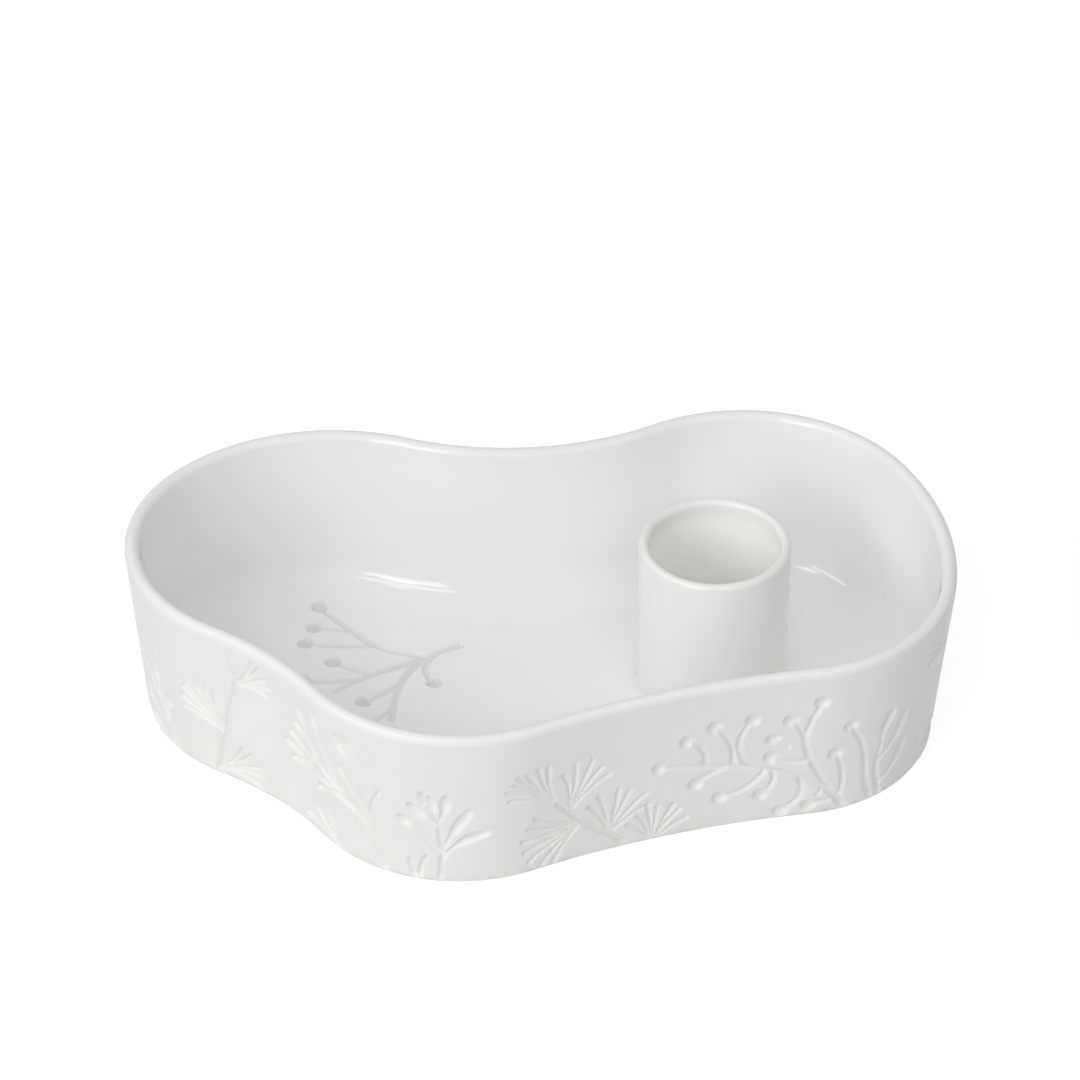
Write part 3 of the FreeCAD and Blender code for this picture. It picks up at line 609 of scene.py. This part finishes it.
def joinPiece(name, parts, material, replaced):
    # one closed mesh from parts whose edges meet; a part may say how deep each of its points is pressed
    points, faces, depths = [], [], []
    for partPoints, partFaces, *depth in parts:
        offset = sum(len(p) for p in points)
        points.append(partPoints)
        faces += [[corner + offset for corner in face] for face in partFaces]
        depths.append(depth[0] if depth else np.zeros(len(partPoints)))
    mesh = bpy.data.meshes.new(name)
    mesh.from_pydata(np.vstack(points).tolist(), [], faces)
    mesh.attributes.new("pressed", "FLOAT", "POINT").data.foreach_set("value", np.concatenate(depths))
    shape = bmesh.new()
    shape.from_mesh(mesh)
    bmesh.ops.remove_doubles(shape, verts=shape.verts, dist=seam["weld"])
    bmesh.ops.dissolve_degenerate(shape, edges=shape.edges, dist=seam["sliver"])
    bmesh.ops.recalc_face_normals(shape, faces=shape.faces)
    openEdges = sum(not edge.is_manifold for edge in shape.edges)
    volume = shape.calc_volume(signed=True) / mm ** 3
    shape.to_mesh(mesh)
    shape.free()
    mesh.materials.clear()
    mesh.materials.append(material)
    mesh.shade_smooth()
    mesh.set_sharp_from_angle(angle=seam["crease"])
    piece = bpy.data.objects.new(name, mesh)
    bpy.context.scene.collection.objects.link(piece)
    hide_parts(replaced)
    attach(piece, "root")
    mesh.calc_loop_triangles()
    print(f"{name}: {len(mesh.loop_triangles)} triangles, {openEdges} open edges, {volume:.0f} cubic mm")


# Materials

def newMaterial(name):
    material = bpy.data.materials.new(name)
    material.use_nodes = True
    tree = material.node_tree
    tree.nodes.clear()
    shader = addNode(tree, "ShaderNodeBsdfPrincipled")
    addNode(tree, "ShaderNodeOutputMaterial", {"Surface": shader.outputs[0]})
    place = addNode(tree, "ShaderNodeTexCoord").outputs["Object"]
    return material, tree, shader, place


def noise(tree, place, size, detail):
    # noise whose blotches are about size metres across
    inputs = {"Vector": place, "Scale": 1 / size, "Detail": detail}
    return addNode(tree, "ShaderNodeTexNoise", inputs).outputs[0]


bisqueLook = {
    "light": "F6F5F3", "dark": "F1F0ED", "cloudSize": 22 * mm, "cloudDetail": 2.0,
    "grainSize": 0.7 * mm, "grainDetail": 3.0,   # real grain is finer: drawn as coarse as it shows
    "grainHeight": 0.012 * mm, "roughness": (0.46, 0.56), "refraction": 1.5,
}


def bisquePorcelain():
    # porcelain fired without glaze and rubbed smooth: dull, chalky white with a fine tooth
    # and faint warm clouds
    material, tree, shader, place = newMaterial("bisquePorcelain")
    cloud = noise(tree, place, bisqueLook["cloudSize"], bisqueLook["cloudDetail"])
    colour = addNode(tree, "ShaderNodeMix", {0: cloud, 6: hexColour(bisqueLook["light"]),
                                             7: hexColour(bisqueLook["dark"])}, data_type="RGBA").outputs[2]
    grain = noise(tree, place, bisqueLook["grainSize"], bisqueLook["grainDetail"])
    low, high = bisqueLook["roughness"]
    rough = addNode(tree, "ShaderNodeMapRange", {0: grain, 3: low, 4: high}).outputs[0]
    bump = addNode(tree, "ShaderNodeBump", {"Strength": 1.0, "Distance": bisqueLook["grainHeight"],
                                            "Height": grain}).outputs[0]
    for socket, value in (("Base Color", colour), ("Roughness", rough), ("Normal", bump)):
        tree.links.new(value, shader.inputs[socket])
    shader.inputs["IOR"].default_value = bisqueLook["refraction"]
    return material


glazeLook = {
    # the grey for the pressed strokes is partly the tint of pooled glaze and partly painted shade
    "light": "FBFBFA", "dark": "F8F8F6", "poolTintAndShade": "E4E5E2", "cloudSize": 30 * mm, "cloudDetail": 2.0,
    "waveSize": 9 * mm, "waveDetail": 1.0, "waveHeight": 0.004 * mm,
    "pinSize": 1.2 * mm, "pinDetail": 2.0, "roughness": (0.004, 0.01), "refraction": 1.5,
    "thinRoughness": 0.3, "thinShares": (0.45, 0.65),   # shares of the rim's radius, outwards
}


def clearGlaze():
    # clear glaze melted over white porcelain: deep white, wet gloss, a slight swell where the melt has run,
    # greyer in the pressed strokes, partly from glaze pooled there and partly from painted shade, and duller
    # where it runs out on the rim
    material, tree, shader, place = newMaterial("clearGlaze")
    cloud = noise(tree, place, glazeLook["cloudSize"], glazeLook["cloudDetail"])
    colour = addNode(tree, "ShaderNodeMix", {0: cloud, 6: hexColour(glazeLook["light"]),
                                             7: hexColour(glazeLook["dark"])}, data_type="RGBA").outputs[2]
    # the deeper the press, the more the glaze's colour goes to grey: partly the tint of glaze pooled in the
    # strokes, partly painted shade in these recesses
    pressed = addNode(tree, "ShaderNodeAttribute", attribute_name="pressed").outputs["Fac"]
    poolTintAndShade = addNode(tree, "ShaderNodeMapRange", {0: pressed, 2: floorPress["deepest"]}).outputs[0]
    colour = addNode(tree, "ShaderNodeMix", {0: poolTintAndShade, 6: colour, 7: hexColour(glazeLook["poolTintAndShade"])},
                     data_type="RGBA").outputs[2]
    low, high = glazeLook["roughness"]
    pins = noise(tree, place, glazeLook["pinSize"], glazeLook["pinDetail"])
    rough = addNode(tree, "ShaderNodeMapRange", {0: pins, 3: low, 4: high}).outputs[0]
    rough = addNode(tree, "ShaderNodeMapRange", {0: pressed, 1: 0.0, 2: -dish["glaze"], 3: rough,
                                                 4: glazeLook["thinRoughness"]}).outputs[0]
    wave = noise(tree, place, glazeLook["waveSize"], glazeLook["waveDetail"])
    bump = addNode(tree, "ShaderNodeBump", {"Strength": 1.0, "Distance": glazeLook["waveHeight"],
                                            "Height": wave}).outputs[0]
    for socket, value in (("Base Color", colour), ("Roughness", rough), ("Normal", bump)):
        tree.links.new(value, shader.inputs[socket])
    shader.inputs["IOR"].default_value = glazeLook["refraction"]
    return material


bisque = bisquePorcelain()
glaze = clearGlaze()
print("materials made")


# The outside of the dish, pressed

def buildBareSide(tree):
    # the section unrolled to a flat sheet, which is pressed and rolled up again
    draft, foot = dish["draft"], dish["footEdge"]
    dense, coarse = chain(bareSection(rowSteps["dense"])), chain(bareSection(rowSteps["coarse"]))
    run = np.r_[0, np.cumsum(np.linalg.norm(np.diff(dense, axis=0), axis=1))]
    footRow = np.nonzero(dense[:, 1] > foot)[0][0]
    run -= run[footRow] - dense[footRow, 1] / math.cos(draft)   # 0 where the wall would meet the ground
    coarseRun = run[[np.abs(dense - point).sum(1).argmin() for point in coarse]]
    top = coarseRun[-2 - rowSteps["curve"] * rowSteps["coarse"]]   # where the rim's curve starts
    bottom = run[np.nonzero(dense[:, 1] > press["plainFoot"] * foot)[0][1]]
    columns = np.linspace(0, rimLength, dish["columns"] + 1)
    plain = coarseRun[(coarseRun < bottom) | (coarseRun > top - hair)]
    across, up = np.meshgrid(columns, plain, indexing="ij")
    strokes = friezeStrokes()
    steps = (dish["columns"], press["rows"])
    wall = gradedPoints((0, bottom), (rimLength, top), steps, press["levels"], strokes)
    flat = np.vstack([np.c_[across.ravel(), up.ravel()], wall])
    flat, faces = triangles(np.unique(np.round(flat, 9), axis=0))   # rounded, so that doubled points are one
    outwards = np.interp(flat[:, 1], run, dense[:, 0])
    level = np.interp(flat[:, 1], run, dense[:, 1])
    almostRound = rimLength * (1 - 1e-12)   # a full turn would count as none
    places, rays = alongRim(np.clip(flat[:, 0], 0, almostRound))
    rest = np.c_[places + rays * outwards[:, None], level]
    fade = np.clip((level - press["fadeFrom"] * foot) / (press["fadeOver"] * foot), 0, 1)
    way = np.c_[-rays * math.cos(draft), np.full(len(flat), math.sin(draft))] * fade[:, None]
    return pressSheet(tree, flat, faces, rest, way, strokes, press, bisque)


def floorLevel(points, skin):
    short = np.clip(-coveCentre[0] - insetFromRim(points), 0, None)   # how far a point lies up the cove
    return coveCentre[1] - np.sqrt((dish["cove"] + skin) ** 2 - np.minimum(short, dish["cove"]) ** 2)


def buildFloor(tree, skin, settings, material):
    # the floor and the foot of the cove, with the branch pressed in
    count, edge = dish["columns"], -coveCentre[0]
    places, outwards = alongRim(np.arange(count) * rimLength / count)
    turns = np.linspace(dish["patchSlope"] - math.pi / 2, -math.pi / 2, rowSteps["patchRings"] + 1)
    rings = [places + outwards * ((dish["cove"] + skin) * math.cos(turn) - edge) for turn in turns]
    widened = [(line + (0, 0, settings["widen"])) * mm for line in sprigStrokes(floorBranch)]
    step = settings["step"]
    wideStep = settings["wideShare"] * step
    corners = np.array([(line[:, :2].min(0), line[:, :2].max(0)) for line in widened])
    low, high = corners[:, 0].min(0) - wideStep, corners[:, 1].max(0) + wideStep
    steps = [int(math.ceil((high[axis] - low[axis]) / step)) for axis in (0, 1)]
    patch = gradedPoints(low, high, steps, settings["levels"], widened)
    patch = patch[insetFromRim(patch) > edge - settings["climb"]]
    wide = gridPoints(wideStep)
    wide = wide[((wide < low) | (wide > high)).any(1)]
    wide = wide[insetFromRim(wide) > edge + step]
    ring = np.arange(count)
    flat, faces = triangles(np.vstack([*rings, wide, patch]), np.c_[ring, (ring + 1) % count])
    rest = np.c_[flat, floorLevel(flat, skin)]
    way = np.tile((0.0, 0.0, -1.0), (len(flat), 1))
    return pressSheet(tree, flat, faces, rest, way, widened, settings, material)


def buildHollow():
    # the shallow hollow under the dish
    count = dish["columns"]
    places, outwards = alongRim(np.arange(count) * rimLength / count)
    edge = bareSection(1)[0][0, 0]
    step = floorPress["wideShare"] * floorPress["step"]
    wide = gridPoints(step)
    wide = wide[insetFromRim(wide) > step - edge]
    ring = np.arange(count)
    flat, faces = triangles(np.vstack([places + outwards * edge, wide]), np.c_[ring, (ring + 1) % count])
    return np.c_[flat, np.full(len(flat), dish["footHollow"])], faces


tree = pressTree()
bareSide = buildBareSide(tree)
print("outside pressed")
underGlaze = [sweepSection(chain(insideSection(dish["glaze"], rowSteps["hidden"]))),
              buildFloor(tree, dish["glaze"], clayPress, bisque)]
joinPiece("dish_body_pressed", [bareSide, buildHollow(), *underGlaze], bisque, "dish_body")
face = chain([bareSection(rowSteps["coarse"])[-1], *insideSection(0, rowSteps["coarse"])])
thinFrom, thinTo = glazeLook["thinShares"]
thin = np.clip((face[:, 0] / dish["rimRadius"] - thinFrom) / (thinTo - thinFrom), 0, 1)
thin = np.repeat(-thin * dish["glaze"], dish["columns"])   # less than 0 where the glaze runs out
glazeFace = [(*sweepSection(face), thin), buildFloor(tree, 0, floorPress, glaze)]
joinPiece("dish_glaze_coat", [*glazeFace, *underGlaze], glaze, "dish_glaze")


# The cup: turned round its own axis

cup = {
    "rim": 1.6 * mm, "coveBend": 3 * mm, "lutingCurve": 2.9 * mm, "pole": 0.01 * mm,
    "turns": 160, "wallRows": 12, "rimRows": 16, "bendRows": 8, "floorRows": 6, "lutingRows": 12,
}
cupLow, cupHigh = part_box("cup_glaze")
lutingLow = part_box("luting_fillet")[0]
cupAxis = ((cupLow.x + cupHigh.x) / 2, (cupLow.y + cupHigh.y) / 2)


def latheSection(section):
    # a closed section turned round the cup's axis
    count, turns = len(section), cup["turns"]
    angle = np.arange(turns) * circle / turns
    ray = np.c_[np.cos(angle), np.sin(angle)]
    ground = np.array(cupAxis) + section[:, 0, None, None] * ray[None]
    level = np.broadcast_to(section[:, 1, None, None], (count, turns, 1))
    here = np.arange(turns)
    beside = (here + 1) % turns
    faces = [np.c_[row * turns + here, row * turns + beside, (row + 1) % count * turns + beside,
                   (row + 1) % count * turns + here] for row in range(count)]
    return np.concatenate([ground, level], axis=2).reshape(-1, 3), np.vstack(faces).tolist()


def buildCupCoat():
    # face of the glaze outside, over the rim and down to the cup's own floor, then back along the clay
    outer, skin, bend, pole = (cupHigh.x - cupLow.x) / 2, dish["glaze"], cup["coveBend"], cup["pole"]
    bore, top = outer - 2 * cup["rim"], cupHigh.z - cup["rim"]
    middle, base = outer - cup["rim"], dish["floor"] + 2 * cup["rim"]
    face = [
        lineRows((outer, cupLow.z), (outer, top), cup["wallRows"]),
        arcRows((middle, top), cup["rim"], 0, math.pi, cup["rimRows"]),
        lineRows((bore, top), (bore, base + bend), cup["wallRows"]),
        arcRows((bore - bend, base + bend), bend, 0, -math.pi / 2, cup["bendRows"]),
        lineRows((bore - bend, base), (pole, base), cup["floorRows"]),
    ]
    clay = [
        lineRows((pole, base - skin), (bore - bend, base - skin), cup["floorRows"]),
        arcRows((bore - bend, base + bend), bend + skin, -math.pi / 2, 0, cup["bendRows"]),
        lineRows((bore + skin, base + bend), (bore + skin, top), cup["wallRows"]),
        arcRows((middle, top), cup["rim"] - skin, math.pi, 0, cup["rimRows"]),
        lineRows((outer - skin, top), (outer - skin, cupLow.z), cup["wallRows"]),
    ]
    return latheSection(np.vstack([chain(face), chain(clay)]))


def buildLuting():
    # hollow fillet between cup and floor
    outer, curve, foot = (cupHigh.x - cupLow.x) / 2, cup["lutingCurve"], dish["floor"]
    back = outer - dish["glaze"]
    hollow = arcRows((outer + curve, foot + curve), curve, -math.pi, -math.pi / 2, cup["lutingRows"])
    behind = np.array([(outer + curve, lutingLow.z), (back, lutingLow.z), (back, foot + curve)])
    return latheSection(np.vstack([hollow, behind]))


joinPiece("cup_glaze_coat", [buildCupCoat()], glaze, "cup_glaze")
joinPiece("luting_fillet_glazed", [buildLuting()], glaze, "luting_fillet")
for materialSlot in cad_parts["candle_cup"].material_slots:
    materialSlot.material = bisque
print("cup made")


# Stage, lamps and camera

def whiteShare(tree):
    # 1 for the rays that see the background itself: camera, mirror and glass rays
    path = addNode(tree, "ShaderNodeLightPath").outputs
    share = path["Is Camera Ray"]
    for name in ("Is Glossy Ray", "Is Transmission Ray"):
        share = addNode(tree, "ShaderNodeMath", {0: share, 1: path[name]}, operation="MAXIMUM").outputs[0]
    return share


stage = {"size": 12, "colour": "E8E8E8", "shadeColour": "B5B5B5", "glow": 0.735, "worldLight": 0.52}


def buildFloorPlane():
    half = stage["size"] / 2
    corners = [(-half, -half, 0), (half, -half, 0), (half, half, 0), (-half, half, 0)]
    mesh = bpy.data.meshes.new("studioFloor")
    mesh.from_pydata(corners, [], [(0, 1, 2, 3)])
    plane = bpy.data.objects.new("studioFloor", mesh)
    bpy.context.scene.collection.objects.link(plane)
    material = bpy.data.materials.new("paperSweep")
    material.use_nodes = True
    tree = material.node_tree
    tree.nodes.clear()
    plain = addNode(tree, "ShaderNodeBsdfDiffuse", {"Color": hexColour(stage["colour"])}).outputs[0]
    shade = addNode(tree, "ShaderNodeBsdfDiffuse", {"Color": hexColour(stage["shadeColour"])}).outputs[0]
    glow = addNode(tree, "ShaderNodeEmission", {"Strength": stage["glow"]}).outputs[0]
    lit = addNode(tree, "ShaderNodeAddShader", {0: shade, 1: glow}).outputs[0]
    mixed = addNode(tree, "ShaderNodeMixShader", {0: whiteShare(tree), 1: plain, 2: lit}).outputs[0]
    addNode(tree, "ShaderNodeOutputMaterial", {"Surface": mixed})
    mesh.materials.append(material)


def buildWorld():
    world = bpy.data.worlds.new("studio")
    bpy.context.scene.world = world
    world.use_nodes = True
    tree = world.node_tree
    tree.nodes.clear()
    shares = {0: whiteShare(tree), 3: stage["worldLight"], 4: 1.0}
    level = addNode(tree, "ShaderNodeMapRange", shares).outputs[0]
    light = addNode(tree, "ShaderNodeBackground", {"Strength": level})
    addNode(tree, "ShaderNodeOutputWorld", {"Surface": light.outputs[0]})


lampDistance = 2.2   # in metres, like the lamps' sizes
lamps = {
    # turn, rise, width and height, power, and whether the glaze mirrors it
    "key": (238.5, 20.5, (0.74, 1.12), 9.3, True),
    "keyEdge": (238.5, 43.6, (0.74, 0.22), 1.7, True),
    "side": (210, 37.5, (1.87, 0.26), 4.9, True),
    "glint": (216, 48, (0.62, 0.3), 2.6, True),
    "soft": (279, 53, (1.3, 1.3), 7.9, False),
    "back": (90, 60, (1.3, 1.3), 2.2, False),
}


def addLamp(name, turn, rise, size, power, mirrored):
    # turn is counted from +X, rise from the floor, both in degrees; the lamp looks at the dish
    data = bpy.data.lights.new(name, "AREA")
    data.shape, data.size, data.size_y, data.energy = "RECTANGLE", *size, power
    lamp = bpy.data.objects.new(name, data)
    bpy.context.scene.collection.objects.link(lamp)
    turn, rise = math.radians(turn), math.radians(rise)
    away = Vector((math.cos(turn) * math.cos(rise), math.sin(turn) * math.cos(rise), math.sin(rise)))
    lamp.location = away * lampDistance
    lamp.visible_glossy = mirrored
    lamp.rotation_euler = away.to_track_quat("Z", "Y").to_euler()


cupFill = {"size": 34 * mm, "below": 4 * mm, "power": 0.00095, "colour": "FFFDF2"}


def addCupFill():
    # real porcelain lets light through the cup's wall, and this lamp in its mouth stands in for that
    data = bpy.data.lights.new("cupFill", "AREA")
    data.shape, data.size, data.energy = "DISK", cupFill["size"], cupFill["power"]
    data.color = hexColour(cupFill["colour"])[:3]
    lamp = bpy.data.objects.new("cupFill", data)
    bpy.context.scene.collection.objects.link(lamp)
    lamp.location = (*cupAxis, cupHigh.z - cupFill["below"])
    lamp.visible_camera = lamp.visible_glossy = False


photoCamera = {
    "target": (0.2 * mm, 38.4 * mm, 0), "rise": math.radians(37.89), "distance": 2344.4 * mm,
    "roll": 0.009, "lift": math.radians(0.82), "lens": 246.6, "sensor": 36,   # the last two in mm
}


def addCamera():
    data = bpy.data.cameras.new("photoCamera")
    data.sensor_width, data.lens = photoCamera["sensor"], photoCamera["lens"]
    camera = bpy.data.objects.new("photoCamera", data)
    bpy.context.scene.collection.objects.link(camera)
    rise, distance = photoCamera["rise"], photoCamera["distance"]
    away = Vector((0, -math.cos(rise), math.sin(rise))) * distance
    camera.location = Vector(photoCamera["target"]) + away
    turned = Matrix.Rotation(math.pi / 2 - rise, 3, "X") @ Matrix.Rotation(photoCamera["roll"], 3, "Z")
    camera.rotation_euler = (turned @ Matrix.Rotation(photoCamera["lift"], 3, "X")).to_euler()
    bpy.context.scene.camera = camera


buildFloorPlane()
buildWorld()
for name, values in lamps.items():
    addLamp(name, *values)
addCupFill()
addCamera()
bpy.context.scene.view_settings.view_transform = "Standard"
print("stage, lamps and camera set")
